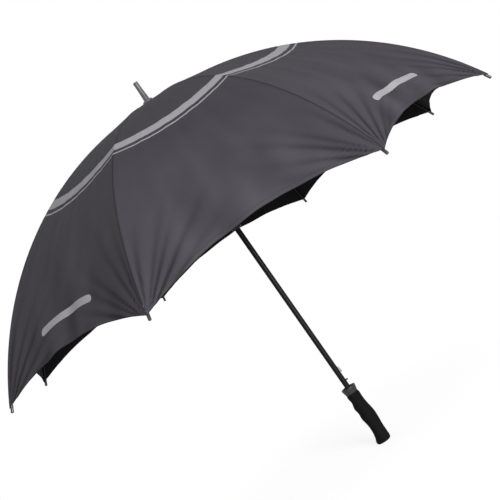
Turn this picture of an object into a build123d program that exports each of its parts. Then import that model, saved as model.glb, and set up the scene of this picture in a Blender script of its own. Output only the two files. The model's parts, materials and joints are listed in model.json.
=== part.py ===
"""Golf umbrella with eight ribs, a sprung runner, a push-button catch and a foam grip.

Units are millimetres. The origin is the centre of the handle's flat butt, and +Z runs up the shaft.
The umbrella is drawn open. Ribs are numbered 1 to 8, anticlockwise seen from above.
"""

import os
from math import acos, asin, atan2, cos, degrees, hypot, radians, sin, sqrt

from build123d import *

# ---------------------------------------------------------------- driving dimensions
rib_count = 8
first_rib_azimuth = -16.0  # degrees from +X; the catch and button face +X

rim_radius = 650.0  # shaft axis to the end of a rib tip
rim_height = 545.0
crown_height = 935.0
overall_height = 995.0
hem_rise = 34.0  # how far the hem curves up between two ribs
cloth_thickness = 1.2

rib_drop = 4.2  # cloth's outer face to the rib's centreline
inner_rib_diameter = 4.0
outer_rib_diameter = 3.6
tip_cap_length = 17.0
tip_cap_diameter = 6.4

notch_pivot_radius = 14.0
elbow_arc_angle = 27.0  # degrees from the crown, along the rib's arc, to the stretcher's pivot
elbow_closed_radius = 24.0
tip_closed_radius = 27.0

shaft_radius = 6.5
shaft_wall = 1.2
shaft_bottom = 12.0
shaft_top = 944.0

runner_pivot_radius = 13.0
runner_closed_height = 218.0  # height of the runner's pivots when closed
runner_sleeve_length = 42.0
stretcher_diameter = 3.0

catch_bottom = 186.0
catch_height = 18.0
catch_reach = 4.5  # beyond the shaft's surface, and also the push button's travel
button_height = 165.0

grip_top = 133.0
collar_top = 148.0
running_clearance = 0.1

# ---------------------------------------------------------------- canopy arc and linkage
half_panel = 180.0 / rib_count
canopy_rise = crown_height - rim_height
canopy_radius = (rim_radius**2 + canopy_rise**2) / (2 * canopy_rise)
arc_centre = crown_height - canopy_radius
rib_arc_radius = canopy_radius - rib_drop
tip_arc_angle = degrees(asin(rim_radius / canopy_radius))
cloth_end_angle = tip_arc_angle - degrees(tip_cap_length / canopy_radius)


def on_arc(radius, angle):
    """Point (distance from the axis, height) on an arc about the canopy's centre."""
    return (radius * sin(radians(angle)), arc_centre + radius * cos(radians(angle)))


def along(start, end, distance):
    """Point at a distance from start towards end."""
    length = hypot(end[0] - start[0], end[1] - start[1])
    share = distance / length
    return (start[0] + (end[0] - start[0]) * share, start[1] + (end[1] - start[1]) * share)


def slope(start, end):
    """Direction from start to end in degrees, in the upright plane."""
    return degrees(atan2(end[1] - start[1], end[0] - start[0]))


notch_arc_angle = degrees(asin(notch_pivot_radius / rib_arc_radius))
notch_pivot = on_arc(rib_arc_radius, notch_arc_angle)
elbow = on_arc(rib_arc_radius, elbow_arc_angle)
rib_end = on_arc(rib_arc_radius, tip_arc_angle)

inner_chord = hypot(elbow[0] - notch_pivot[0], elbow[1] - notch_pivot[1])
elbow_closed_drop = sqrt(inner_chord**2 - (elbow_closed_radius - notch_pivot_radius) ** 2)
elbow_closed = (elbow_closed_radius, notch_pivot[1] - elbow_closed_drop)
runner_closed = (runner_pivot_radius, runner_closed_height)
stretcher_length = hypot(elbow_closed[0] - runner_closed[0], elbow_closed[1] - runner_closed[1])
runner_open_drop = sqrt(stretcher_length**2 - (elbow[0] - runner_pivot_radius) ** 2)
runner_open = (runner_pivot_radius, elbow[1] - runner_open_drop)

outer_chord = hypot(rib_end[0] - elbow[0], rib_end[1] - elbow[1])
outer_closed_slope = -degrees(acos((tip_closed_radius - elbow_closed_radius) / outer_chord))
runner_travel = runner_open[1] - runner_closed[1]
inner_fold = slope(notch_pivot, elbow) - slope(notch_pivot, elbow_closed)
outer_fold = slope(elbow, rib_end) - outer_closed_slope - inner_fold
stretcher_swing = slope(elbow_closed, runner_closed) - slope(elbow, runner_open)
stretcher_fold = stretcher_swing + inner_fold


def azimuth(rib):
    """Direction of a rib, numbered from 1, in degrees about the shaft."""
    return first_rib_azimuth + (rib - 1) * 360.0 / rib_count


def outward(angle):
    return Vector(cos(radians(angle)), sin(radians(angle)), 0)


def radial_plane(angle):
    """Upright plane through the shaft: local x runs outward, local y runs up."""
    return Plane(origin=(0, 0, 0), x_dir=outward(angle), z_dir=outward(angle - 90))


def facing_plane(angle):
    """Upright plane across a radius: local x runs sideways, local y up, and z outward."""
    return Plane(origin=(0, 0, 0), x_dir=outward(angle + 90), z_dir=outward(angle))


def save(part, name):
    part.label = name
    export_step(part, f"parts/{name}.step")


# ---------------------------------------------------------------- shared shapes
def arc_rod(plane, start_angle, end_angle, diameter):
    """Round rod along the rib's arc."""
    with BuildPart() as rod:
        with BuildLine(plane) as path:
            CenterArc((0, arc_centre), rib_arc_radius, 90 - start_angle, start_angle - end_angle)
        with BuildSketch(Plane(origin=path.line @ 0, z_dir=path.line % 0)):
            Circle(diameter / 2)
        sweep()
    return rod.part


def straight_rod(plane, start, end, diameter):
    with BuildPart() as rod:
        with BuildLine(plane) as path:
            Line(start, end)
        with BuildSketch(Plane(origin=path.line @ 0, z_dir=path.line % 0)):
            Circle(diameter / 2)
        sweep()
    return rod.part


def link_plate(plane, start, end, width, thickness):
    """Flat bar with round ends, centred on the plane."""
    middle = ((start[0] + end[0]) / 2, (start[1] + end[1]) / 2)
    with BuildPart() as plate:
        with BuildSketch(plane):
            SlotCenterPoint(middle, end, width)
        extrude(amount=thickness / 2, both=True)
    return plate.part


def cross_pin(plane, centre, radius, half_length):
    """Round pin through a plane, square to it."""
    with BuildPart() as pin:
        with BuildSketch(plane):
            with Locations(centre):
                Circle(radius)
        extrude(amount=half_length, both=True)
    return pin.part


def ring(radius, height, wire_radius):
    with BuildPart() as wire:
        with BuildSketch(Plane.XZ):
            with Locations((radius, height)):
                Circle(wire_radius)
        revolve(axis=Axis.Z)
    return wire.part


# ---------------------------------------------------------------- ribs
eye_width = 5.0  # of the flattened rib ends round each pivot
elbow_pin_radius = 0.8
elbow_pin_reach = 3.8
elbow_tongue = 1.8
ear_offset = 1.45
ear_thickness = 0.9
notch_tongue = 2.2
notch_tongue_length = 8.5
pivot_wire_radius = 0.6
wire_eye_radius = 0.95


def arc_step(distance):
    """Angle on the rib's arc that covers a distance."""
    return degrees(distance / rib_arc_radius)


def make_inner_rib(rib):
    """From the notch to the elbow, with the elbow's pin."""
    plane = radial_plane(azimuth(rib))
    rod_start = on_arc(rib_arc_radius, notch_arc_angle + arc_step(notch_tongue_length))
    rod_end = on_arc(rib_arc_radius, elbow_arc_angle - arc_step(eye_width))
    with BuildPart() as inner_rib:
        add(
            arc_rod(
                plane,
                notch_arc_angle + arc_step(notch_tongue_length - 1),
                elbow_arc_angle - arc_step(eye_width - 1),
                inner_rib_diameter,
            )
        )
        add(link_plate(plane, notch_pivot, rod_start, eye_width, notch_tongue))
        add(link_plate(plane, rod_end, elbow, eye_width, elbow_tongue))
        add(cross_pin(plane, elbow, elbow_pin_radius, elbow_pin_reach))
        add(cross_pin(plane, notch_pivot, wire_eye_radius, notch_tongue), mode=Mode.SUBTRACT)
    return inner_rib.part


def make_outer_rib(rib):
    """From the elbow, where two ears clasp the inner rib's tongue, into the tip cap."""
    plane = radial_plane(azimuth(rib))
    ear_end = on_arc(rib_arc_radius, elbow_arc_angle + arc_step(eye_width))
    block_end = on_arc(rib_arc_radius, elbow_arc_angle + arc_step(eye_width + 3))
    with BuildPart() as outer_rib:
        add(
            arc_rod(
                plane,
                elbow_arc_angle + arc_step(eye_width + 1),
                tip_arc_angle - arc_step(3),
                outer_rib_diameter,
            )
        )
        for side in (-1, 1):
            ear_plane = plane.offset(side * ear_offset)
            add(link_plate(ear_plane, elbow, ear_end, eye_width, ear_thickness))
        add(link_plate(plane, ear_end, block_end, eye_width, 2 * ear_offset + ear_thickness))
        hole = cross_pin(plane, elbow, elbow_pin_radius + running_clearance, elbow_pin_reach)
        add(hole, mode=Mode.SUBTRACT)
    return outer_rib.part


def make_rib_tip(rib):
    """Round-ended cap over the rib's end; the cloth's corner is tied to its root."""
    plane = radial_plane(azimuth(rib))
    root = on_arc(rib_arc_radius, tip_arc_angle - arc_step(tip_cap_length - 0.4))
    root_point = plane.from_local_coords(Vector(*root))
    end_point = plane.from_local_coords(Vector(*rib_end))
    with BuildPart() as tip:
        with BuildSketch(Plane(origin=root_point, z_dir=end_point - root_point)):
            Circle(tip_cap_diameter / 2)
        extrude(amount=(end_point - root_point).length)
        flat_ends = tip.faces().filter_by(GeomType.PLANE).sort_by_distance(end_point)
        fillet(flat_ends[0].edges(), radius=tip_cap_diameter * 0.3)
        flat_ends = tip.faces().filter_by(GeomType.PLANE).sort_by_distance(root_point)
        chamfer(flat_ends[0].edges(), length=0.5)
        add(
            arc_rod(
                plane,
                tip_arc_angle - arc_step(tip_cap_length + 1),
                tip_arc_angle - arc_step(3),
                outer_rib_diameter,
            ),
            mode=Mode.SUBTRACT,
        )
    return tip.part


# ---------------------------------------------------------------- stretchers
prong_offset = 2.9
prong_thickness = 0.9
prong_length = 18.0
runner_tongue = 2.2
runner_tongue_length = 7.0


def make_stretcher(rib):
    """Strut whose fork straddles the elbow and whose eye hangs on the runner's ring."""
    plane = radial_plane(azimuth(rib))
    prong_end = along(elbow, runner_open, prong_length)
    block_end = along(elbow, runner_open, prong_length + 4)
    tongue_end = along(runner_open, elbow, runner_tongue_length)
    with BuildPart() as stretcher:
        rod_start = along(elbow, runner_open, prong_length + 1)
        rod_end = along(runner_open, elbow, runner_tongue_length - 1)
        add(straight_rod(plane, rod_start, rod_end, stretcher_diameter))
        for side in (-1, 1):
            prong_plane = plane.offset(side * prong_offset)
            add(link_plate(prong_plane, elbow, prong_end, inner_rib_diameter, prong_thickness))
        add(link_plate(plane, prong_end, block_end, inner_rib_diameter, 2 * prong_offset + prong_thickness))
        add(link_plate(plane, runner_open, tongue_end, inner_rib_diameter, runner_tongue))
        hole = cross_pin(plane, elbow, elbow_pin_radius + running_clearance, 2 * elbow_pin_reach)
        add(hole, mode=Mode.SUBTRACT)
        add(cross_pin(plane, runner_open, wire_eye_radius, runner_tongue), mode=Mode.SUBTRACT)
    return stretcher.part


# ---------------------------------------------------------------- canopy
canopy_hole_radius = shaft_radius + 1.0
seam_gap_angle = 0.04  # keeps neighbouring gores apart
hem_floor = rim_height - 30
cloth_corner = on_arc(canopy_radius, cloth_end_angle)
hem_half_chord = cloth_corner[0] * sin(radians(half_panel))
hem_radius = (hem_half_chord**2 + hem_rise**2) / (2 * hem_rise)
hem_centre = cloth_corner[1] + hem_rise - hem_radius


def under_panel(angle, radius):
    """All the space below one panel, whose cross-lines run straight from rib to rib."""
    with BuildPart() as space:
        with BuildSketch(radial_plane(angle)):
            with Locations((0, arc_centre)):
                Ellipse(radius * cos(radians(half_panel)), radius)
            with Locations((rim_radius / 2, (hem_floor + crown_height) / 2)):
                Rectangle(rim_radius, crown_height - hem_floor + 20, mode=Mode.INTERSECT)
        extrude(amount=rim_radius, both=True)
    return space.part


def under_ridge(rib, radius):
    """The space below both panels that meet over a rib."""
    with BuildPart() as space:
        add(under_panel(azimuth(rib) - half_panel, radius))
        add(under_panel(azimuth(rib) + half_panel, radius), mode=Mode.INTERSECT)
    return space.part


def make_gore(rib):
    """The cloth over one rib, out to the middle of the panel on either side."""
    reach = 1.3 * rim_radius
    edge = half_panel - seam_gap_angle
    corners = [(0, 0)]
    for angle in (azimuth(rib) - edge, azimuth(rib) + edge):
        corner = outward(angle) * reach
        corners.append((corner.X, corner.Y))
    with BuildPart() as gore:
        add(under_ridge(rib, canopy_radius))
        add(under_ridge(rib, canopy_radius - cloth_thickness), mode=Mode.SUBTRACT)
        with BuildSketch(Plane.XY.offset(hem_floor)):
            Polygon(*corners, align=None)
        extrude(amount=crown_height - hem_floor + 5, mode=Mode.INTERSECT)
        for side in (-1, 1):
            with BuildSketch(facing_plane(azimuth(rib) + side * half_panel)):
                with Locations((0, hem_centre)):
                    Circle(hem_radius)
            extrude(amount=reach, mode=Mode.SUBTRACT)
        with BuildSketch(Plane.XY.offset(crown_height - 20)):
            Circle(canopy_hole_radius)
        extrude(amount=40, mode=Mode.SUBTRACT)
    return gore.part


# ---------------------------------------------------------------- crown
washer_thickness = 1.1
washer_radius = 12.6
washer_bottom = crown_height + 0.1
ferrule_bottom = washer_bottom + washer_thickness
ferrule_collar_radius = 13.8
ferrule_collar_height = 10.5
ferrule_root_radius = 7.25
ferrule_nose_radius = 6.0
ferrule_nose_length = 20.0
notch_top = crown_height - cloth_thickness - 0.8
notch_bottom = notch_pivot[1] - 7.0
notch_radius = 17.5
pivot_slot_root = 10.5
notch_slot_width = 2.8


def make_washer():
    with BuildPart() as washer:
        with BuildSketch(Plane.XY.offset(washer_bottom)):
            Circle(washer_radius)
            Circle(shaft_radius, mode=Mode.SUBTRACT)
        extrude(amount=washer_thickness)
    return washer.part


def make_ferrule():
    """Moulded cap: a round-shouldered collar that clamps the cloth, and a tapering nose."""
    collar_shoulder = ferrule_bottom + ferrule_collar_height
    nose_start = overall_height - ferrule_nose_length
    with BuildPart() as ferrule:
        with BuildSketch(Plane.XZ):
            with BuildLine():
                Polyline(
                    (0, ferrule_bottom),
                    (ferrule_collar_radius, ferrule_bottom),
                    (ferrule_collar_radius - 0.6, collar_shoulder - 4.5),
                )
                ThreePointArc(
                    (ferrule_collar_radius - 0.6, collar_shoulder - 4.5),
                    (ferrule_collar_radius - 1.8, collar_shoulder - 1.3),
                    (ferrule_collar_radius - 4.4, collar_shoulder),
                )
                Polyline(
                    (ferrule_collar_radius - 4.4, collar_shoulder),
                    (ferrule_root_radius, collar_shoulder + 0.6),
                    (ferrule_nose_radius, nose_start),
                    (ferrule_nose_radius, overall_height - 1.2),
                    (ferrule_nose_radius - 1.2, overall_height),
                    (0, overall_height),
                    (0, ferrule_bottom),
                )
            make_face()
        revolve(axis=Axis.Z)
        with BuildSketch(Plane.XY.offset(ferrule_bottom)):
            Circle(shaft_radius)
        extrude(amount=shaft_top - ferrule_bottom, mode=Mode.SUBTRACT)
    return ferrule.part


def make_notch():
    """Slotted crown ring that the ribs hang from."""
    with BuildPart() as notch:
        with BuildSketch(Plane.XY.offset(notch_bottom)):
            Circle(notch_radius)
            Circle(shaft_radius, mode=Mode.SUBTRACT)
        extrude(amount=notch_top - notch_bottom)
        chamfer(notch.edges().filter_by(GeomType.CIRCLE).group_by(SortBy.RADIUS)[-1], length=0.6)
        with BuildSketch(Plane.XY.offset(notch_bottom)):
            with Locations(Rotation(0, 0, first_rib_azimuth)):
                with PolarLocations(pivot_slot_root + notch_radius / 2, rib_count):
                    Rectangle(notch_radius, notch_slot_width)
        extrude(amount=notch_top - notch_bottom, mode=Mode.SUBTRACT)
        add(ring(notch_pivot_radius, notch_pivot[1], pivot_wire_radius), mode=Mode.SUBTRACT)
        add(cross_pin(Plane.XZ, notch_pin_centre, pin_radius, notch_radius), mode=Mode.SUBTRACT)
    return notch.part


# ---------------------------------------------------------------- shaft and its pins
pin_radius = 1.25
notch_pin_centre = (0, notch_bottom + 2.2)
notch_pin_reach = 9.5
stop_pin_reach = 7.7
handle_pin_height = 30.0
catch_slot_width = 3.0
button_radius = 1.7
button_hole_radius = 1.9
runner_rise = 4.0  # runner's pivots to its top face
stop_pin_height = runner_open[1] + runner_rise + 0.3 + pin_radius


def make_shaft():
    """Tube with a slot for the catch, a hole for the button and three cross holes."""
    with BuildPart() as shaft:
        with BuildSketch(Plane.XY.offset(shaft_bottom)):
            Circle(shaft_radius)
            Circle(shaft_radius - shaft_wall, mode=Mode.SUBTRACT)
        extrude(amount=shaft_top - shaft_bottom)
        with BuildSketch(Plane.YZ):
            with Locations((0, catch_bottom + catch_height / 2)):
                Rectangle(catch_slot_width, catch_height + 0.8)
            with Locations((0, button_height)):
                Circle(button_hole_radius)
        extrude(amount=2 * shaft_radius, mode=Mode.SUBTRACT)
        for height in (handle_pin_height, stop_pin_height, notch_pin_centre[1]):
            add(cross_pin(Plane.XZ, (0, height), pin_radius, 2 * shaft_radius), mode=Mode.SUBTRACT)
    return shaft.part


# ---------------------------------------------------------------- runner and main spring
runner_radius = 16.5
runner_flange_depth = 5.0
runner_hub_radius = 10.0
runner_foot_radius = 12.0
runner_foot_height = 5.0
runner_slot_width = 3.4
window_width = 4.0
window_play = 0.4


def make_runner():
    """Slotted flange for the stretchers on a long sleeve, whose window drops over the catch."""
    top = runner_open[1] + runner_rise
    flange_bottom = runner_open[1] - runner_flange_depth
    foot = flange_bottom - runner_sleeve_length
    window_bottom = catch_bottom - window_play + runner_travel
    window_height = catch_height + 2 * window_play
    with BuildPart() as runner:
        with BuildSketch(Plane.XZ):
            with BuildLine():
                Polyline(
                    (shaft_radius + running_clearance, foot),
                    (runner_foot_radius - 1, foot),
                    (runner_foot_radius, foot + 1),
                    (runner_foot_radius, foot + runner_foot_height),
                    (runner_hub_radius, foot + runner_foot_height + 3),
                    (runner_hub_radius, flange_bottom - 6),
                    (runner_radius, flange_bottom),
                    (runner_radius, top - 0.8),
                    (runner_radius - 0.8, top),
                    (shaft_radius + running_clearance, top),
                    (shaft_radius + running_clearance, foot),
                )
            make_face()
        revolve(axis=Axis.Z)
        with BuildSketch(Plane.XY.offset(flange_bottom - 6)):
            with Locations(Rotation(0, 0, first_rib_azimuth)):
                with PolarLocations(pivot_slot_root + runner_radius / 2, rib_count):
                    Rectangle(runner_radius, runner_slot_width)
        extrude(amount=top - flange_bottom + 6, mode=Mode.SUBTRACT)
        with BuildSketch(Plane.YZ):
            with Locations((0, window_bottom + window_height / 2)):
                Rectangle(window_width, window_height)
        extrude(amount=2 * runner_radius, mode=Mode.SUBTRACT)
        add(ring(runner_pivot_radius, runner_open[1], pivot_wire_radius), mode=Mode.SUBTRACT)
    return runner.part


spring_radius = 8.7
spring_wire_radius = 0.65
spring_pitch = 8.0


def make_main_spring():
    """Coil round the shaft between the notch and the runner, which it pulls up."""
    bottom = runner_open[1] + runner_rise + spring_wire_radius + 0.1
    top = notch_bottom - spring_wire_radius - 0.1
    with BuildPart() as spring:
        with BuildLine() as path:
            Helix(spring_pitch, top - bottom, spring_radius, center=(0, 0, bottom))
        with BuildSketch(Plane(origin=path.line @ 0, z_dir=path.line % 0)):
            Circle(spring_wire_radius)
        sweep(is_frenet=True)
    return spring.part


# ---------------------------------------------------------------- catch and push button
catch_thickness = 2.6
tail_back = 0.8
tail_front = 3.0
tail_top = catch_bottom + catch_height + 4
tail_bottom = button_height - 5
catch_tip = shaft_radius + catch_reach
button_flange_radius = 2.5
button_flange_thickness = 1.0
button_tip = shaft_radius + 5.0


def make_catch():
    """Half-moon blade, sloped above and square below, on a tail behind the button."""
    top = catch_bottom + catch_height
    with BuildPart() as catch:
        with BuildSketch(Plane.XZ):
            with BuildLine():
                Polyline(
                    (shaft_radius - 1.5, top),
                    (tail_front, top),
                    (tail_front, tail_top),
                    (tail_back, tail_top),
                    (tail_back, tail_bottom),
                    (tail_front, tail_bottom),
                    (tail_front, catch_bottom),
                    (catch_tip - 1.2, catch_bottom),
                )
                ThreePointArc(
                    (catch_tip - 1.2, catch_bottom),
                    (catch_tip - 0.3, catch_bottom + 0.6),
                    (catch_tip, catch_bottom + 3.5),
                )
                ThreePointArc(
                    (catch_tip, catch_bottom + 3.5),
                    (catch_tip - 1.5, catch_bottom + 11.5),
                    (shaft_radius - 1.5, top),
                )
            make_face()
        extrude(amount=catch_thickness / 2, both=True)
    return catch.part


def make_button():
    with BuildPart() as button:
        with BuildSketch(Plane.YZ.offset(tail_front)):
            with Locations((0, button_height)):
                Circle(button_flange_radius)
        extrude(amount=button_flange_thickness)
        with BuildSketch(Plane.YZ.offset(tail_front)):
            with Locations((0, button_height)):
                Circle(button_radius)
        extrude(amount=button_tip - tail_front)
        fillet(button.edges().group_by(Axis.X)[-1], radius=0.6)
    return button.part


def make_catch_spring():
    """Bowed steel strip between the tube's far wall and the catch's tail."""
    strip = 0.5
    back = -(shaft_radius - shaft_wall) + 1.2
    low = catch_bottom - 10
    high = catch_bottom + catch_height
    middle = (low + high) / 2
    with BuildPart() as leaf:
        with BuildSketch(Plane.XZ):
            with BuildLine():
                ThreePointArc((back, low), (tail_back, middle), (back, high))
                Line((back, high), (back - strip, high))
                ThreePointArc((back - strip, high), (tail_back - strip, middle), (back - strip, low))
                Line((back - strip, low), (back, low))
            make_face()
        extrude(amount=1.2, both=True)
    return leaf.part


# ---------------------------------------------------------------- handle
core_radius = 9.5
core_bottom = 8.0
collar_bottom_radius = 15.0
collar_top_radius = 17.8

# height, reach towards the finger side (-X), reach towards the palm side (+X), half depth (Y)
grip_stations = [
    (0.0, 18.2, 16.0, 16.6),
    (5.0, 19.0, 16.8, 17.2),
    (14.0, 16.0, 17.2, 16.4),
    (34.0, 12.6, 17.6, 14.6),
    (50.0, 12.8, 19.0, 14.8),
    (70.0, 15.8, 20.0, 16.4),
    (84.0, 14.8, 18.6, 16.0),
    (98.0, 16.8, 16.6, 16.2),
    (112.0, 13.8, 15.8, 15.2),
    (grip_top, 14.6, 15.2, 15.0),
]


def make_grip():
    """Foam sleeve with a flared butt, a narrow waist and finger swells facing -X."""
    with BuildPart() as grip:
        for height, finger_reach, palm_reach, half_depth in grip_stations:
            with BuildSketch(Plane.XY.offset(height)):
                with Locations(((palm_reach - finger_reach) / 2, 0)):
                    Ellipse((palm_reach + finger_reach) / 2, half_depth)
        loft()
        with BuildSketch(Plane.XY.offset(core_bottom)):
            Circle(core_radius)
        extrude(amount=grip_top - core_bottom, mode=Mode.SUBTRACT)
    return grip.part


def make_handle_core():
    """Moulded liner between the shaft and the foam, closed below the shaft."""
    with BuildPart() as core:
        with BuildSketch(Plane.XY.offset(core_bottom)):
            Circle(core_radius)
        extrude(amount=grip_top - core_bottom)
        with BuildSketch(Plane.XY.offset(shaft_bottom)):
            Circle(shaft_radius)
        extrude(amount=grip_top - shaft_bottom, mode=Mode.SUBTRACT)
        pin_hole = cross_pin(Plane.XZ, (0, handle_pin_height), pin_radius, core_radius)
        add(pin_hole, mode=Mode.SUBTRACT)
    return core.part


def make_collar():
    """Flared ring with a shallow cup that the closed rib tips sit over."""
    with BuildPart() as collar:
        with BuildSketch(Plane.XZ):
            with BuildLine():
                Polyline(
                    (shaft_radius, grip_top),
                    (collar_bottom_radius, grip_top),
                    (collar_top_radius, collar_top - 1.5),
                    (collar_top_radius - 0.4, collar_top),
                    (collar_top_radius - 2.0, collar_top),
                )
                ThreePointArc(
                    (collar_top_radius - 2.0, collar_top),
                    (shaft_radius + 5.0, collar_top - 4.6),
                    (shaft_radius + 2.2, collar_top - 4.2),
                )
                Polyline(
                    (shaft_radius + 2.2, collar_top - 4.2),
                    (shaft_radius + 0.8, collar_top - 1.0),
                    (shaft_radius, collar_top - 1.0),
                    (shaft_radius, grip_top),
                )
            make_face()
        revolve(axis=Axis.Z)
    return collar.part


# ---------------------------------------------------------------- build and save
def main():
    os.makedirs("parts", exist_ok=True)
    save(make_shaft(), "shaft")
    save(make_ferrule(), "ferrule")
    save(make_washer(), "top_washer")
    save(make_notch(), "top_notch")
    save(ring(notch_pivot_radius, notch_pivot[1], pivot_wire_radius), "notch_wire")
    save(cross_pin(Plane.XZ, notch_pin_centre, pin_radius, notch_pin_reach), "notch_pin")
    save(make_main_spring(), "main_spring")
    save(cross_pin(Plane.XZ, (0, stop_pin_height), pin_radius, stop_pin_reach), "runner_stop_pin")
    save(make_catch_spring(), "catch_spring")
    save(make_collar(), "handle_collar")
    save(make_grip(), "grip")
    save(make_handle_core(), "handle_core")
    save(cross_pin(Plane.XZ, (0, handle_pin_height), pin_radius, core_radius - 0.2), "handle_pin")
    save(make_runner(), "runner")
    save(ring(runner_pivot_radius, runner_open[1], pivot_wire_radius), "runner_wire")
    save(make_catch(), "catch")
    save(make_button(), "release_button")
    for rib in range(1, rib_count + 1):
        save(make_inner_rib(rib), f"rib_inner_{rib}")
        save(make_outer_rib(rib), f"rib_outer_{rib}")
        save(make_rib_tip(rib), f"rib_tip_{rib}")
        save(make_stretcher(rib), f"stretcher_{rib}")
        save(make_gore(rib), f"canopy_gore_{rib}")
    print("notch pivot radius and height", notch_pivot)
    print("elbow radius and height", elbow)
    print("runner pivots' height and travel", runner_open[1], runner_travel)
    print("folds of inner rib, outer rib and stretcher", inner_fold, outer_fold, stretcher_fold)


main()
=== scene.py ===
import json
import math

import bpy
import numpy as np
from mathutils import Matrix, Vector


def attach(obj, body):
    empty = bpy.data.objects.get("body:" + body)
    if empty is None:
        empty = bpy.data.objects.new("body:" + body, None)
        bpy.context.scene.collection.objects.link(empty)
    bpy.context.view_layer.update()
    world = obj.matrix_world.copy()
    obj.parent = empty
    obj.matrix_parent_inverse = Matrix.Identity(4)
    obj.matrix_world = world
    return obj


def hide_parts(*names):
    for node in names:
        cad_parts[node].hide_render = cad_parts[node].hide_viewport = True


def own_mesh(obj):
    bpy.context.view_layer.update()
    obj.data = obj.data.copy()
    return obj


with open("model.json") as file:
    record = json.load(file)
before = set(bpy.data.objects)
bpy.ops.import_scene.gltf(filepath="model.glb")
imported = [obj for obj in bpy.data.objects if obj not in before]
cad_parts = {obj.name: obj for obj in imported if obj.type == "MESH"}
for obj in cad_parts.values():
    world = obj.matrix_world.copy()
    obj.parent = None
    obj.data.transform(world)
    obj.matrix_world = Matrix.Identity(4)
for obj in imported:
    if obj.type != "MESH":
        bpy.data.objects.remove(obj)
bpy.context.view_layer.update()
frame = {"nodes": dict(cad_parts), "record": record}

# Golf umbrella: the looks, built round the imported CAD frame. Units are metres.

# ---------------------------------------------------------------- sizes shared with the CAD
RIBS = 8
RIM_RADIUS = 0.650
RIM_HEIGHT = 0.545
CROWN_HEIGHT = 0.935
TIP_CAP = 0.009  # how much of each rib tip stays bare below the cloth
HEM_RISE = 0.041  # how far the hem curves up between two rib tips
FIRST_AZIMUTH = -16.0  # degrees, of rib 1
CROWN_GAP = 0.0078  # arc length left open round the ferrule

HALF_PANEL = math.pi / RIBS
RISE = CROWN_HEIGHT - RIM_HEIGHT
CANOPY_RADIUS = (RIM_RADIUS**2 + RISE**2) / (2 * RISE)
ARC_CENTRE = CROWN_HEIGHT - CANOPY_RADIUS
CLOTH_END = math.asin(RIM_RADIUS / CANOPY_RADIUS) - TIP_CAP / CANOPY_RADIUS
CLOTH_START = CROWN_GAP / CANOPY_RADIUS
ELBOW = math.radians(27.0)  # arc angle where the two rib sections meet
CORNER_RADIUS = CANOPY_RADIUS * math.sin(CLOTH_END)
CORNER_HEIGHT = ARC_CENTRE + CANOPY_RADIUS * math.cos(CLOTH_END)
HEM_CHORD = CORNER_RADIUS * math.sin(HALF_PANEL)
HEM_RADIUS = (HEM_CHORD**2 + HEM_RISE**2) / (2 * HEM_RISE)
HEM_CENTRE = CORNER_HEIGHT + HEM_RISE - HEM_RADIUS


def azimuth(rib):
    return math.radians(FIRST_AZIMUTH + (rib - 1) * 360.0 / RIBS)


# ---------------------------------------------------------------- small mesh and material helpers
def add_object(name, verts, faces):
    mesh = bpy.data.meshes.new(name)
    mesh.from_pydata([tuple(v) for v in verts], [], faces)
    mesh.shade_smooth()
    piece = bpy.data.objects.new(name, mesh)
    bpy.context.scene.collection.objects.link(piece)
    return piece


class Nodes:
    """Short way to write a node tree."""

    def __init__(self, name):
        self.material = bpy.data.materials.new(name)
        self.material.use_nodes = True
        self.tree = self.material.node_tree
        self.shader = self.tree.nodes["Principled BSDF"]

    def add(self, kind, **settings):
        node = self.tree.nodes.new(kind)
        for key, value in settings.items():
            setattr(node, key, value)
        return node

    def link(self, start, end):
        self.tree.links.new(start, end)

    def math(self, operation, first, second=None, third=None):
        node = self.add("ShaderNodeMath", operation=operation)
        for socket, value in zip(node.inputs, (first, second, third)):
            if value is None:
                continue
            if isinstance(value, (int, float)):
                socket.default_value = value
            else:
                self.link(value, socket)
        return node.outputs[0]

    def coordinates(self, scale=(1, 1, 1)):
        place = self.add("ShaderNodeTexCoord")
        mapping = self.add("ShaderNodeMapping")
        mapping.inputs["Scale"].default_value = scale
        self.link(place.outputs["Object"], mapping.inputs["Vector"])
        return mapping.outputs[0]

    def noise(self, scale, detail=3.0, vector=None, roughness=0.5):
        node = self.add("ShaderNodeTexNoise")
        node.inputs["Scale"].default_value = scale
        node.inputs["Detail"].default_value = detail
        node.inputs["Roughness"].default_value = roughness
        self.link(vector if vector is not None else self.coordinates(), node.inputs["Vector"])
        return node.outputs["Fac"]

    def mix(self, share, first, second):
        node = self.add("ShaderNodeMix", data_type="RGBA")
        for index, value in ((0, share), (6, first), (7, second)):
            socket = node.inputs[index]
            if isinstance(value, (int, float)):
                socket.default_value = value
            elif isinstance(value, tuple):
                socket.default_value = (*value, 1.0)
            else:
                self.link(value, socket)
        return node.outputs[2]

    def ranged(self, value, low, high, to_low, to_high):
        node = self.add("ShaderNodeMapRange")
        self.link(value, node.inputs["Value"])
        for end, least, most in (("From", low, high), ("To", to_low, to_high)):
            node.inputs[end + " Min"].default_value = least
            node.inputs[end + " Max"].default_value = most
        return node.outputs[0]

    def bump(self, height, strength, distance):
        node = self.add("ShaderNodeBump")
        node.inputs["Strength"].default_value = strength
        node.inputs["Distance"].default_value = distance
        self.link(height, node.inputs["Height"])
        self.link(node.outputs[0], self.shader.inputs["Normal"])

    def set(self, **values):
        for key, value in values.items():
            socket = self.shader.inputs[key.replace("_", " ")]
            if isinstance(value, tuple):
                value = (*value, 1.0)
            if isinstance(value, (int, float, tuple)):
                socket.default_value = value
            else:
                self.link(value, socket)


# ---------------------------------------------------------------- canopy shape
THREAD_HALF = 0.00025  # half the cloth's thickness
SEAM_WIDTH = 0.0045
HEM_WIDTH = 0.010
ROLL = 0.00045  # how far a folded seam or hem stands up
ROLL_EDGE = 0.0012  # width of the soft edge of a folded seam or hem

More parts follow.
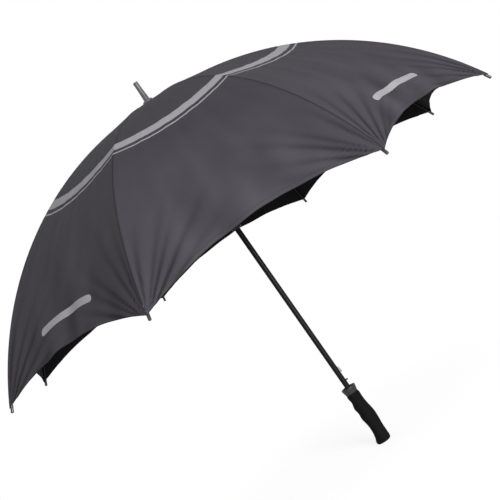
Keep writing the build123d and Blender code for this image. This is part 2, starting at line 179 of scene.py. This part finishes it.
# how the stretched cloth departs from the straight panel
DIP = 0.0055  # in the middle of the panel, at the hem
FOLD_DEPTH = 0.0019
FOLD_REACH = 0.17  # how far the soft folds run up from the hem
WIDE_FOLD = 0.021
NARROW_FOLD = 0.0125
DRAW_LINE_DEPTH = 0.0003
CREASES = 6  # on each side of a rib tip
CREASE_DEPTH = 0.0013
CREASE_WIDTH = 0.05  # radians, seen from the rib tip
CREASE_LENGTH = 0.07
CREASE_LENGTH_SPREAD = 0.075
# how strongly the creases paint shade, and the soft folds paint light and shade, into the cloth's colour
CREASE_PAINTED_SHADE_STRENGTH = 1.3
FOLD_PAINTED_SHADING_STRENGTH = 150

# the hidden strip of the lower cloth that runs up under the upper cloth at the elbow
TUCK_ROWS = 5
TUCK = 0.035  # radians of arc
TUCK_BELOW = 0.0022

# angles for the axis about which the cloth would gather towards its rib as the umbrella closes; the
# cloth is not moved about it
INNER_SLOPE = math.radians(13.9)
OUTER_SLOPE = math.radians(44.5)

# plain pale marks: a ring with a thin line beside it round the crown, and two bars near the hem
RING_RADIUS = 0.330
RING_WIDTH = 0.024
LINE_OFFSET = 0.024
LINE_WIDTH = 0.004
BAR_PANELS = (5, 7)
BAR_ABOVE_HEM = 0.062
BAR_HALF = 0.085
BAR_THICKNESS = 0.016
BAR_ROW_HALF = 0.23  # half the panel's width where the bars are


def step(edge, value, soft):
    """1 below edge, 0 above it, with a soft change."""
    x = np.clip((edge + soft / 2 - value) / soft, 0, 1)
    return x * x * (3 - 2 * x)


def hem_angle(t):
    """Arc angle of the hem at share t of the way from the rib to the panel's middle."""
    low, high = 0.5, CLOTH_END + 0.2
    for _ in range(50):
        middle = (low + high) / 2
        across = (1 - t) * CANOPY_RADIUS * math.sin(middle) * math.sin(HALF_PANEL)
        hem = HEM_CENTRE + math.sqrt(HEM_RADIUS**2 - across**2)
        if ARC_CENTRE + CANOPY_RADIUS * math.cos(middle) > hem:
            low = middle
        else:
            high = middle
    return low


def slack(panel, across, theta, to_hem):
    """How far the cloth stands out from the straight panel: its dip, folds and tension wrinkles.

    across runs from -1 at one rib to 1 at the next; to_hem is the distance to the hem.
    The second result is painted light and shade: darker in the creases and fold hollows, lighter on the
    fold ridges.
    """
    rng = np.random.default_rng(40 + panel)
    phase = rng.uniform(0, 2 * math.pi, 12)
    strength = rng.uniform(0.6, 1.2, 6)
    half_width = CANOPY_RADIUS * np.sin(theta) * math.sin(HALF_PANEL)
    free = 1 - across**2
    dip = -DIP * free * np.clip(theta / CLOTH_END, 0, 1) ** 2
    # broad soft folds that hang from the middle of the panel towards the hem
    near_hem = np.exp(-((to_hem / FOLD_REACH) ** 2))
    x = across * half_width
    lean = x + 0.3 * to_hem * math.sin(phase[0])
    folds = np.sin(lean / WIDE_FOLD + phase[1] + 25 * to_hem) * strength[0]
    folds += 0.6 * np.sin(lean / NARROW_FOLD + phase[2] - 15 * to_hem) * strength[1]
    soft = FOLD_DEPTH * folds * near_hem * free**1.5
    # long faint draw lines from crown to hem
    lines = np.sin(across * 17 + phase[3]) + 0.7 * np.sin(across * 31 + phase[4])
    soft += DRAW_LINE_DEPTH * lines * np.sqrt(np.maximum(free, 0)) * np.clip(theta * 1.5, 0, 1)
    # narrow creases that fan out of each rib tip
    creases = np.zeros_like(dip)
    for side in (-1, 1):
        from_rib = (1 - side * across) * half_width
        up_rib = (CLOTH_END - theta) * CANOPY_RADIUS
        reach = np.hypot(from_rib, up_rib)
        bearing = np.arctan2(from_rib, up_rib + 0.012)
        for crease in range(CREASES):
            middle = 0.16 + 0.24 * crease + 0.07 * math.sin(phase[crease] * 3 + side)
            length = CREASE_LENGTH + CREASE_LENGTH_SPREAD * strength[(crease + side) % CREASES]
            narrow = np.exp(-(((bearing - middle) / CREASE_WIDTH) ** 2))
            fade = np.exp(-((reach / length) ** 2)) * np.clip(reach / 0.03, 0, 1)
            creases -= narrow * fade * np.clip(from_rib / 0.010, 0, 1) * strength[crease]
    # painted light and shade: darker along the creases, darker in the hollows and lighter on the ridges
    # of the soft folds and draw lines
    painted_shading = CREASE_PAINTED_SHADE_STRENGTH * creases + FOLD_PAINTED_SHADING_STRENGTH * soft
    return dip + soft + CREASE_DEPTH * creases, painted_shading


def cloth_points(rib, side, thetas, t, lift):
    """Points on one half of the cloth over a rib, for arrays of arc angle and share across."""
    panel_azimuth = azimuth(rib) + side * HALF_PANEL
    panel = (rib - 1 if side > 0 else rib - 2) % RIBS
    along = np.array([math.cos(panel_azimuth), math.sin(panel_azimuth)])
    sideways = np.array([-along[1], along[0]])
    radius = CANOPY_RADIUS * np.sin(thetas)
    forward = radius * math.cos(HALF_PANEL)
    across = -side * (1 - t)
    sidestep = across * radius * math.sin(HALF_PANEL)
    hem = np.array([hem_angle(x) for x in t[0]])[None, :]
    to_hem = (hem - thetas) * CANOPY_RADIUS
    from_rib = t * radius * math.sin(HALF_PANEL)
    rise, painted_shading = slack(panel, across, thetas, to_hem)
    folded = np.maximum(step(SEAM_WIDTH, from_rib, ROLL_EDGE), step(HEM_WIDTH, to_hem, ROLL_EDGE))
    rise = rise + ROLL * folded
    rise = rise + lift
    slope_out = np.sin(thetas) / math.cos(HALF_PANEL)
    slope_up = np.cos(thetas)
    size = np.hypot(slope_out, slope_up)
    forward = forward + rise * slope_out / size
    height = ARC_CENTRE + CANOPY_RADIUS * np.cos(thetas) + rise * slope_up / size
    points = np.stack(
        [
            along[0] * forward + sideways[0] * sidestep,
            along[1] * forward + sideways[1] * sidestep,
            height,
        ],
        axis=-1,
    )
    # the last column is the painted light and shade of the creases and folds
    marks = np.stack([from_rib, to_hem, across * np.ones_like(thetas), painted_shading], axis=-1)
    return points, marks


def shares(edges, length, cells):
    """Grid lines from 0 to 1: fine ones near 0 at the given distances, then even ones."""
    near = [x / length for x in edges]
    rest = np.linspace(near[-1], 1, cells + 1)[1:]
    return np.array(near + list(rest))


ACROSS = shares([0, 0.0018, 0.0036, 0.0042, 0.0050, 0.0075, 0.012, 0.018], HEM_CHORD, 46)
NEAR_HEM = [0, 0.003, 0.006, 0.0094, 0.0106, 0.014, 0.019, 0.025]


def cloth_grid(outer):
    """Arc angles and shares across of the grid of one half of the cloth over a rib."""
    t = ACROSS
    hem = np.array([hem_angle(x) for x in t])
    if outer:
        length = (hem.mean() - ELBOW) * CANOPY_RADIUS
        share = 1 - shares(NEAR_HEM, length, 62)[::-1]
        thetas = ELBOW + share[:, None] * (hem - ELBOW)[None, :]
    else:
        share = np.linspace(0, 1, 30)
        thetas = CLOTH_START + share[:, None] * (ELBOW - CLOTH_START) * np.ones_like(hem)[None, :]
    return thetas, np.ones_like(thetas) * t[None, :]


def shell_faces(rows, columns, base, turned):
    """Top, bottom and rim faces of a thin shell over a grid."""
    faces = []
    count = rows * columns

    def put(face):
        faces.append(face[::-1] if turned else face)

    for i in range(rows - 1):
        for j in range(columns - 1):
            a = base + i * columns + j
            quad = (a, a + columns, a + columns + 1, a + 1)
            put(quad)
            put(tuple(v + count for v in quad[::-1]))
    ring = [base + j for j in range(columns)]
    ring += [base + i * columns + columns - 1 for i in range(1, rows)]
    ring += [base + (rows - 1) * columns + j for j in range(columns - 2, -1, -1)]
    ring += [base + i * columns for i in range(rows - 2, 0, -1)]
    copies = base + 2 * count
    size = len(ring)
    for i in range(size):
        j = (i + 1) % size
        put((copies + i, copies + j, copies + size + j, copies + size + i))
    return faces, ring + [v + count for v in ring]


def make_cloth(rib, side, outer):
    """Half of the cloth over one rib, on one side of the elbow, as a thin shell."""
    thetas, t = cloth_grid(outer)
    turned = side > 0
    verts, marks, inside, faces, area = [], [], [], [], 0.0
    layers = [(thetas, t, 0.0)]
    if outer:
        tuck = np.linspace(ELBOW - TUCK, ELBOW, TUCK_ROWS)[:, None] * np.ones_like(t[:TUCK_ROWS])
        layers.append((tuck, t[:TUCK_ROWS], -TUCK_BELOW))
    for grid, share, lift in layers:
        top, mark = cloth_points(rib, side, grid, share, lift + THREAD_HALF)
        bottom, _ = cloth_points(rib, side, grid, share, lift - THREAD_HALF)
        rows, columns = grid.shape
        base = len(verts)
        layer_faces, rim = shell_faces(rows, columns, base, turned)
        faces += layer_faces
        verts += list(top.reshape(-1, 3)) + list(bottom.reshape(-1, 3))
        marks += list(mark.reshape(-1, 4)) * 2
        verts += [verts[v] for v in rim]
        marks += [marks[v] for v in rim]
        half = rows * columns
        inside += [0.0] * half + [1.0] * half + [0.0] * len(rim)
        first = top[1:, :-1] - top[:-1, :-1]
        second = top[:-1, 1:] - top[:-1, :-1]
        area += float(np.linalg.norm(np.cross(first, second), axis=-1).sum())
    name = f"cloth_{'outer' if outer else 'inner'}_{rib}_{'left' if side > 0 else 'right'}"
    piece = add_object(name, verts, faces)
    mesh = piece.data
    rest = mesh.attributes.new("rest_place", "FLOAT_VECTOR", "POINT")
    rest.data.foreach_set("vector", np.array(verts, dtype=np.float32).ravel())
    marks = np.array(marks, dtype=np.float32)
    seams = mesh.attributes.new("cloth_marks", "FLOAT_VECTOR", "POINT")
    seams.data.foreach_set("vector", marks[:, :3].ravel())
    # painted light and shade of the creases and folds, for the cloth's colour
    painted_shades = mesh.attributes.new("cloth_painted_shading", "FLOAT", "POINT")
    painted_shades.data.foreach_set("value", marks[:, 3].copy())
    backs = mesh.attributes.new("cloth_inside", "FLOAT", "POINT")
    backs.data.foreach_set("value", np.array(inside, dtype=np.float32))
    panel = (rib - 1 if side > 0 else rib - 2) % RIBS
    marked = mesh.attributes.new("cloth_marked_panel", "FLOAT", "POINT")
    marked.data.foreach_set("value", np.full(len(verts), float(panel in BAR_PANELS), dtype=np.float32))
    mesh.materials.append(materials["canopy_cloth"])
    body = f"rib_{'outer' if outer else 'inner'}_{rib}"
    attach(piece, body)
    fold_cloth(piece, rib, side, outer)
    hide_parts(f"canopy_gore_{rib}")
    width = float(np.linalg.norm(lower_edge(rib, side, thetas, t)))


def lower_edge(rib, side, thetas, t):
    """From the rib to the middle of the panel, along the edge of a piece farthest from the crown."""
    points, _ = cloth_points(rib, side, thetas, t, 0.0)
    return points[-1, -1] - points[-1, 0]


def fold_cloth(piece, rib, side, outer):
    """Works out the axis and anchor about which the cloth would gather towards its rib as the umbrella
    closes, though nothing uses them, and gives the piece its own mesh.
    """
    slope = OUTER_SLOPE if outer else INNER_SLOPE
    a = azimuth(rib)
    radial = Vector((math.cos(a), math.sin(a), 0))
    tangent = Vector((-math.sin(a), math.cos(a), 0)) * side
    normal = radial * math.sin(slope) + Vector((0, 0, math.cos(slope)))
    axis = tangent * math.cos(HALF_PANEL) - normal * math.sin(HALF_PANEL) * math.sin(slope)
    axis.normalize()
    theta = (ELBOW + CLOTH_END) / 2 if outer else ELBOW / 2  # halfway along the section's rib
    anchor = radial * CANOPY_RADIUS * math.sin(theta)
    anchor.z = ARC_CENTRE + CANOPY_RADIUS * math.cos(theta)
    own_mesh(piece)


# ---------------------------------------------------------------- materials
CLOTH_DARK = (0.0215, 0.0198, 0.0243)
CLOTH_LIGHT = (0.0275, 0.0256, 0.0310)
# painted shade for the creases and fold hollows, and a painted highlight for the fold ridges
PAINTED_CREASE_SHADE_COLOUR = (0.0060, 0.0052, 0.0070)
PAINTED_RIDGE_HIGHLIGHT_COLOUR = (0.048, 0.044, 0.053)
SEAM_DARK = (0.005, 0.005, 0.006)
THREAD_COLOUR = (0.007, 0.007, 0.008)
MARK_COLOUR = (0.150, 0.147, 0.156)
LINING = (0.0035, 0.0034, 0.0038)  # the cloth's inner face
STITCH_FROM_RIB = 0.0036
STITCH_ABOVE_HEM = 0.0088
STITCH_HALF = 0.0005
STITCH_PITCH = 0.004
HEM_STITCHES = 380.0  # radians of stitch pattern for each unit across
STITCH_GAP = -0.2
WEAVE_PITCH = 0.0011
SEAM_SHADE = 0.0014
HEM_SHADE = 0.0012


def cloth_material():
    """Dark woven cloth: uneven colour, painted shade in the creases and fold hollows with a painted
    highlight on the fold ridges, stitched seams, pale marks and a darker lining.
    """
    n = Nodes("canopy_cloth")
    rest = n.add("ShaderNodeAttribute", attribute_name="rest_place").outputs["Vector"]
    marks = n.add("ShaderNodeAttribute", attribute_name="cloth_marks").outputs["Vector"]
    split = n.add("ShaderNodeSeparateXYZ")
    n.link(marks, split.inputs[0])
    from_rib, to_hem, across = split.outputs
    cloudy = n.noise(6.0, 4.0, rest)
    base = n.mix(n.ranged(cloudy, 0.3, 0.7, 0, 1), CLOTH_DARK, CLOTH_LIGHT)
    # painted shade in the creases and fold hollows, painted highlight on the fold ridges
    painted_shading = n.add("ShaderNodeAttribute", attribute_name="cloth_painted_shading").outputs["Fac"]
    base = n.mix(n.ranged(painted_shading, 0.0, -1.0, 0.0, 0.8), base, PAINTED_CREASE_SHADE_COLOUR)
    base = n.mix(n.ranged(painted_shading, 0.0, 1.0, 0.0, 0.5), base, PAINTED_RIDGE_HIGHLIGHT_COLOUR)
    # stitching beside each seam and above the hem
    rib_line = n.math("COMPARE", from_rib, STITCH_FROM_RIB, STITCH_HALF)
    hem_line = n.math("COMPARE", to_hem, STITCH_ABOVE_HEM, STITCH_HALF)
    up_seam = n.math("SINE", n.math("MULTIPLY", to_hem, 2 * math.pi / STITCH_PITCH))
    seam_dashes = n.math("GREATER_THAN", up_seam, STITCH_GAP)
    along_hem = n.math("SINE", n.math("MULTIPLY", across, HEM_STITCHES))
    hem_dashes = n.math("GREATER_THAN", along_hem, STITCH_GAP)
    seam_thread = n.math("MULTIPLY", rib_line, seam_dashes)
    thread = n.math("MAXIMUM", seam_thread, n.math("MULTIPLY", hem_line, hem_dashes))
    near_seam = n.math("LESS_THAN", from_rib, SEAM_SHADE)
    seam_shade = n.math("MAXIMUM", near_seam, n.math("LESS_THAN", to_hem, HEM_SHADE))
    base = n.mix(n.math("MULTIPLY", seam_shade, 0.6), base, SEAM_DARK)
    base = n.mix(n.math("MULTIPLY", thread, 0.5), base, THREAD_COLOUR)
    base = n.mix(accent_mask(n, rest), base, MARK_COLOUR)
    # weave, grain and fine crumpling
    warp = n.math("SINE", n.math("MULTIPLY", from_rib, 2 * math.pi / WEAVE_PITCH))
    weft = n.math("SINE", n.math("MULTIPLY", to_hem, 2 * math.pi / WEAVE_PITCH))
    weave = n.math("MULTIPLY", warp, weft)
    grain = n.noise(900.0, 2.0, rest)
    height = n.math("ADD", n.math("MULTIPLY", weave, 0.25), n.math("MULTIPLY", grain, 0.6))
    height = n.math("ADD", height, n.math("MULTIPLY", thread, 1.2))
    crease = n.noise(26.0, 5.0, rest, 0.6)
    height = n.math("ADD", height, n.math("MULTIPLY", crease, 3.5))
    n.bump(height, 0.35, 0.0006)
    inside = n.add("ShaderNodeAttribute", attribute_name="cloth_inside").outputs["Fac"]
    base = n.mix(inside, base, LINING)
    n.set(Base_Color=base, Roughness=n.ranged(cloudy, 0.3, 0.7, 0.66, 0.76))
    n.set(Specular_IOR_Level=n.ranged(inside, 0, 1, 0.05, 0.03))
    return n.material


def accent_mask(n, rest):
    """Plain pale marks: a ring round the crown, and a bar near the hem of two panels."""
    flat = n.add("ShaderNodeVectorMath", operation="MULTIPLY")
    n.link(rest, flat.inputs[0])
    flat.inputs[1].default_value = (1, 1, 0)
    radius = n.add("ShaderNodeVectorMath", operation="LENGTH")
    n.link(flat.outputs[0], radius.inputs[0])
    broad = n.math("COMPARE", radius.outputs["Value"], RING_RADIUS, RING_WIDTH / 2)
    thin = n.math("COMPARE", radius.outputs["Value"], RING_RADIUS + LINE_OFFSET, LINE_WIDTH / 2)
    mask = n.math("MAXIMUM", broad, thin)
    marks = n.add("ShaderNodeSeparateXYZ")
    n.link(n.add("ShaderNodeAttribute", attribute_name="cloth_marks").outputs["Vector"], marks.inputs[0])
    _, to_hem, across = marks.outputs
    # rounded bar: distance to a line of given length that runs along the hem
    from_middle = n.math("MULTIPLY", n.math("ABSOLUTE", across), BAR_ROW_HALF)
    past = n.math("SUBTRACT", from_middle, BAR_HALF)
    past = n.math("MAXIMUM", past, 0)
    off = n.math("SUBTRACT", to_hem, BAR_ABOVE_HEM)
    apart = n.math("SQRT", n.math("ADD", n.math("MULTIPLY", past, past), n.math("MULTIPLY", off, off)))
    bar = n.math("LESS_THAN", apart, BAR_THICKNESS / 2)
    marked = n.add("ShaderNodeAttribute", attribute_name="cloth_marked_panel").outputs["Fac"]
    return n.math("MAXIMUM", mask, n.math("MULTIPLY", bar, marked))


FINE_GRAIN = 900.0
SHALLOW = 0.0002  # depth of the finest surface marks
UNEVEN = 0.25  # share by which a moulded colour varies


def moulded(name, colour, roughness, coat=0.0):
    """Moulded plastic with a fine grain and slightly uneven gloss."""
    n = Nodes(name)
    cloud = n.noise(45.0, 4.0)
    dark = tuple(c * (1 - UNEVEN) for c in colour)
    light = tuple(c * (1 + UNEVEN) for c in colour)
    n.set(Base_Color=n.mix(cloud, dark, light))
    n.set(Roughness=n.ranged(cloud, 0.3, 0.7, roughness - 0.06, roughness + 0.06))
    n.set(Coat_Weight=coat, Coat_Roughness=0.12, Specular_IOR_Level=0.3)
    n.bump(n.noise(FINE_GRAIN, 3.0), 0.4, SHALLOW)
    return n.material


def steel(name, colour, roughness):
    """Drawn steel with fine lengthwise lines."""
    n = Nodes(name)
    lines = n.noise(1.0, 4.0, n.coordinates((400, 400, 20)))
    n.set(Base_Color=n.mix(lines, tuple(c * 0.8 for c in colour), colour), Metallic=1.0)
    n.set(Roughness=n.ranged(lines, 0.3, 0.7, roughness - 0.07, roughness + 0.1))
    n.bump(lines, 0.2, SHALLOW)
    return n.material


def rod(name, colour, roughness):
    """Pultruded black fibreglass with lengthwise streaks."""
    n = Nodes(name)
    streaks = n.noise(1.0, 5.0, n.coordinates((500, 500, 12)))
    n.set(Base_Color=n.mix(streaks, tuple(c * 0.7 for c in colour), tuple(c * 1.5 for c in colour)))
    n.set(Roughness=n.ranged(streaks, 0.3, 0.7, roughness - 0.05, roughness + 0.08))
    n.set(Specular_IOR_Level=0.09)
    n.bump(streaks, 0.25, SHALLOW)
    return n.material


def foam():
    """Matt closed-cell foam with pores and rubbed high spots."""
    n = Nodes("grip_foam")
    place = n.coordinates()
    pores = n.add("ShaderNodeTexVoronoi")
    pores.inputs["Scale"].default_value = FINE_GRAIN
    n.link(place, pores.inputs["Vector"])
    cloud = n.noise(40.0, 5.0, place)
    pitted = n.math("MULTIPLY", pores.outputs["Distance"], 0.8)
    height = n.math("ADD", pitted, n.math("MULTIPLY", n.noise(300.0, 4.0, place), 0.7))
    n.set(Base_Color=n.mix(cloud, (0.0014, 0.0014, 0.0016), (0.0032, 0.0032, 0.0036)))
    n.set(Roughness=n.ranged(cloud, 0.3, 0.7, 0.70, 0.82), Specular_IOR_Level=0.05)
    n.bump(height, 0.5, 0.0005)
    return n.material


materials = {
    "canopy_cloth": cloth_material(),
    "shaft_fibreglass": rod("shaft_fibreglass", (0.0022, 0.0022, 0.0025), 0.38),
    "rib_fibreglass": rod("rib_fibreglass", (0.006, 0.006, 0.0065), 0.4),
    "stretcher_steel": moulded("stretcher_steel", (0.008, 0.008, 0.0085), 0.38, coat=0.1),
    "crown_plastic": moulded("crown_plastic", (0.040, 0.040, 0.043), 0.30, coat=0.1),
    "tip_plastic": moulded("tip_plastic", (0.012, 0.012, 0.013), 0.34, coat=0.05),
    "runner_plastic": moulded("runner_plastic", (0.005, 0.005, 0.0055), 0.42),
    "bright_steel": steel("bright_steel", (0.24, 0.235, 0.215), 0.40),
    "washer_rubber": moulded("washer_rubber", (0.02, 0.02, 0.02), 0.75),
    "collar_plastic": moulded("collar_plastic", (0.0065, 0.0065, 0.007), 0.5),
    "grip_foam": foam(),
    "core_plastic": moulded("core_plastic", (0.02, 0.02, 0.02), 0.5),
}

slot_of = {row["node"]: row["material_slot"] for row in frame["record"]["subparts"]}
for node, cad_piece in frame["nodes"].items():
    cad_piece.data.materials.clear()
    cad_piece.data.materials.append(materials[slot_of[node]])

# ---------------------------------------------------------------- canopy
for rib in range(1, RIBS + 1):
    for side in (-1, 1):
        for outer in (False, True):
            make_cloth(rib, side, outer)

# ---------------------------------------------------------------- grip
GRIP_AROUND = 72  # points round the grip
GRIP_ROWS = 110
RINGS_FROM, RINGS_TO = 0.040, 0.122  # heights between which the grip is ringed
RING_PITCH = 0.0062
RING_DEPTH = 0.00035
GRIP_REACH = 0.016  # typical half width, which turns a ring's depth into a share
# height, reach towards the fingers (-X), reach towards the palm (+X), half depth (Y)
GRIP_STATIONS = [
    (0.0000, 0.0165, 0.0145, 0.0150),
    (0.0012, 0.0180, 0.0158, 0.0164),
    (0.0050, 0.0190, 0.0168, 0.0172),
    (0.0140, 0.0160, 0.0172, 0.0164),
    (0.0340, 0.0126, 0.0176, 0.0146),
    (0.0500, 0.0128, 0.0190, 0.0148),
    (0.0700, 0.0158, 0.0200, 0.0164),
    (0.0840, 0.0148, 0.0186, 0.0160),
    (0.0980, 0.0168, 0.0166, 0.0162),
    (0.1120, 0.0138, 0.0158, 0.0152),
    (0.1310, 0.0146, 0.0152, 0.0150),
    (0.1330, 0.0138, 0.0144, 0.0142),
]


def curve_through(stations, count):
    """Smooth heights and reaches through the stations."""
    table = np.array(stations)
    heights = np.linspace(0, table[-1, 0], count)
    heights = np.sort(np.concatenate([heights, table[:3, 0], table[-2:, 0]]))
    slopes = np.gradient(table, table[:, 0], axis=0)
    rows = []
    for h in heights:
        i = int(np.clip(np.searchsorted(table[:, 0], h) - 1, 0, len(table) - 2))
        span = table[i + 1, 0] - table[i, 0]
        x = (h - table[i, 0]) / span
        a, b = 2 * x**3 - 3 * x**2 + 1, x**3 - 2 * x**2 + x
        c, d = -2 * x**3 + 3 * x**2, x**3 - x**2
        rows.append(a * table[i] + b * span * slopes[i] + c * table[i + 1] + d * span * slopes[i + 1])
    return np.array(rows)


def make_grip():
    """Foam grip: moulded swells, shallow rings on its two flanks and a soft rolled butt."""
    around = GRIP_AROUND
    rows = curve_through(GRIP_STATIONS, GRIP_ROWS)
    verts = []
    for height, finger, palm, depth in rows:
        ringed = RINGS_FROM < height < RINGS_TO
        ring = RING_DEPTH * max(0.0, math.sin(height / RING_PITCH * math.pi)) if ringed else 0.0
        for j in range(around):
            angle = 2 * math.pi * j / around
            reach = palm if math.cos(angle) > 0 else finger
            fade = max(0.0, abs(math.sin(angle)) - 0.2)
            shrink = 1 - ring * fade / GRIP_REACH
            x, y = reach * math.cos(angle) * shrink, depth * math.sin(angle) * shrink
            verts.append((x, y, max(height, 0.0)))
    count = len(rows)
    faces = []
    for i in range(count - 1):
        a, b = i * around, (i + 1) * around
        faces += [(a + j, a + (j + 1) % around, b + (j + 1) % around, b + j) for j in range(around)]
    verts += [(0.0, 0.0, 0.0), (0.0, 0.0, GRIP_STATIONS[-1][0])]
    bottom, top = len(verts) - 2, len(verts) - 1
    last = (count - 1) * around
    faces += [(bottom, (j + 1) % around, j) for j in range(around)]
    faces += [(top, last + j, last + (j + 1) % around) for j in range(around)]
    piece = add_object("foam_grip", verts, faces)
    piece.data.materials.append(materials["grip_foam"])
    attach(piece, "shaft_and_handle")
    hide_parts("grip")


make_grip()

# ---------------------------------------------------------------- floor, light and camera
PALE = 0.86
WORLD = 1.0  # strength of the white surroundings and of the floor's glow
FLOOR_REACH = 30.0
FLOOR_HEIGHT = -0.0005
FLOOR_RINGS, FLOOR_AROUND = 24, 64
GLOW_FROM, GLOW_TO = 0.4, 2.2  # distances from the shaft between which the glow grows
GLOW_LEAST = 0.82
LENS = 73.62  # mm, on a 36 mm frame
CAMERA_DISTANCE = 2.331
CAMERA_TARGET = Vector((-0.0036, 0.0, 0.5334))


def make_floor():
    """Pale round floor that glows a little more the farther it is from the shaft."""
    around = FLOOR_AROUND
    verts, faces = [(0, 0, FLOOR_HEIGHT)], []
    for i in range(1, FLOOR_RINGS + 1):
        r = FLOOR_REACH * (i / FLOOR_RINGS) ** 2
        for j in range(around):
            angle = 2 * math.pi * j / around
            verts.append((r * math.cos(angle), r * math.sin(angle), FLOOR_HEIGHT))
    faces += [(0, 1 + j, 1 + (j + 1) % around) for j in range(around)]
    for i in range(FLOOR_RINGS - 1):
        a, b = 1 + i * around, 1 + (i + 1) * around
        faces += [(a + j, b + j, b + (j + 1) % around, a + (j + 1) % around) for j in range(around)]
    floor = add_object("studio_floor", verts, faces)
    n = Nodes("studio_floor")
    n.set(Base_Color=(PALE, PALE, PALE), Roughness=0.9, Specular_IOR_Level=0.1)
    glow = n.add("ShaderNodeEmission")
    glow.inputs["Color"].default_value = (1, 1, 1, 1)
    glow.inputs["Strength"].default_value = WORLD
    mixer = n.add("ShaderNodeMixShader")
    length = n.add("ShaderNodeVectorMath", operation="LENGTH")
    n.link(n.coordinates(), length.inputs[0])
    n.link(n.ranged(length.outputs["Value"], GLOW_FROM, GLOW_TO, GLOW_LEAST, 1), mixer.inputs[0])
    n.link(n.shader.outputs[0], mixer.inputs[1])
    n.link(glow.outputs[0], mixer.inputs[2])
    n.link(mixer.outputs[0], n.tree.nodes["Material Output"].inputs["Surface"])
    floor.data.materials.append(n.material)


def make_world():
    world = bpy.data.worlds.new("studio")
    world.use_nodes = True
    background = world.node_tree.nodes["Background"]
    background.inputs["Color"].default_value = (1, 1, 1, 1)
    background.inputs["Strength"].default_value = WORLD
    bpy.context.scene.world = world
    bpy.context.scene.view_settings.view_transform = "Standard"


def add_light(name, place, target, size, power):
    data = bpy.data.lights.new(name, "AREA")
    data.shape = "DISK"
    data.size = size
    data.energy = power
    light = bpy.data.objects.new(name, data)
    light.location = place
    light.rotation_euler = (Vector(target) - Vector(place)).to_track_quat("-Z", "Y").to_euler()
    bpy.context.scene.collection.objects.link(light)


def make_camera():
    """Level with the rim and rolled, so that the shaft leans down to the right."""
    turn, climb, roll = math.radians(2.865), math.radians(0.99), math.radians(-34.96)
    level = math.cos(climb)
    back = Vector((math.sin(turn) * level, -math.cos(turn) * level, math.sin(climb)))
    right = (-back).cross(Vector((0, 0, 1))).normalized()
    up = right.cross(-back)
    over, along = math.cos(roll), math.sin(roll)
    right, up = right * over + up * along, up * over - right * along
    data = bpy.data.cameras.new("camera")
    data.lens = LENS
    data.clip_end = 100
    camera = bpy.data.objects.new("camera", data)
    rotation = Matrix((right, up, back)).transposed().to_4x4()
    camera.matrix_world = Matrix.Translation(CAMERA_TARGET + back * CAMERA_DISTANCE) @ rotation
    bpy.context.scene.collection.objects.link(camera)
    bpy.context.scene.camera = camera


make_world()
make_floor()
add_light("key", (1.3, -3.1, 0.95), (0, 0, 0.7), 1.1, 240)
add_light("fill", (2.4, 2.2, 1.6), (0, 0, 0.6), 2.0, 7)
add_light("rim", (-2.2, 2.0, 1.8), (0, 0, 0.8), 1.8, 7)
make_camera()
